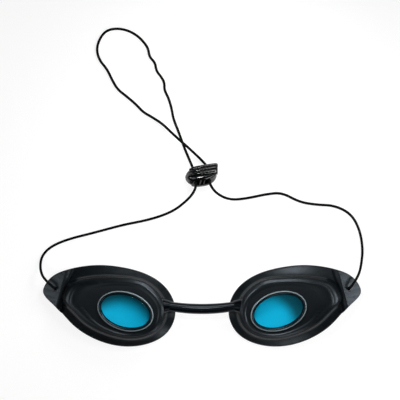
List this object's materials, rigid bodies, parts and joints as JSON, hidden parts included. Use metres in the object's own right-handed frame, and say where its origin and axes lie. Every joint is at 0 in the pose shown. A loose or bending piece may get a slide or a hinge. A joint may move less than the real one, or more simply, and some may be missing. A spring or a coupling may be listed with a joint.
{
  "type": "tanning goggles",
  "caption": "Soft black eye cups with oval blue tinted lenses, joined by a round flexible nose bar and held by a thin elastic cord that runs through a sprung two-hole cord lock.",
  "frame": {"origin": "bottom centre of the box round cups, lenses and bar, on the plane that the cups' rims lie on", "axes": "+X from the left cup to the right cup as seen from the front, +Y up the face, +Z away from the wearer"},
  "size_m": [0.1368, 0.1346, 0.0113],
  "materials": {
    "cup": "satin, fine grain",
    "lens": "clear tinted, polished",
    "bar": "smooth",
    "cord": "braided",
    "lock": "gloss",
    "spring": "drawn wire"
  },
  "bodies": {
    "bridge": {"nose_bridge": "bar", "cord_left": "cord", "cord_loop": "cord", "cord_right": "cord"},
    "left_cup": {"eye_cup_left": "cup", "lens_left": "lens", "knot_left": "cord"},
    "right_cup": {"eye_cup_right": "cup", "lens_right": "lens", "knot_right": "cord"},
    "lock": {"lock_body": "lock", "lock_spring": "spring"},
    "plunger": {"lock_plunger": "lock"}
  },
  "joints": [
    {"name": "left_cup_flex", "type": "hinge", "parent": "bridge", "child": "left_cup", "pos_m": [-0.006, 0, 0.006], "axis": [0, -1, 0], "range_deg": [-15, 40], "stiffness_Nm_per_rad": 0.006, "deforming": ["nose_bridge", "cord_left"]},
    {"name": "right_cup_flex", "type": "hinge", "parent": "bridge", "child": "right_cup", "pos_m": [0.006, 0, 0.006], "axis": [0, 1, 0], "range_deg": [-15, 40], "stiffness_Nm_per_rad": 0.006, "deforming": ["nose_bridge", "cord_right"]},
    {"name": "lock_slide", "type": "slide", "parent": "bridge", "child": "lock", "axis": [0, 1, 0], "range_m": [-0.02, 0.03], "deforming": ["cord_left", "cord_right", "cord_loop"]},
    {"name": "plunger_press", "type": "slide", "parent": "lock", "child": "plunger", "axis": [0.9877, 0.1564, 0], "range_m": [0, 0.0012], "stiffness_N_per_m": 600, "springref_m": -0.002, "deforming": ["lock_spring"]}
  ]
}
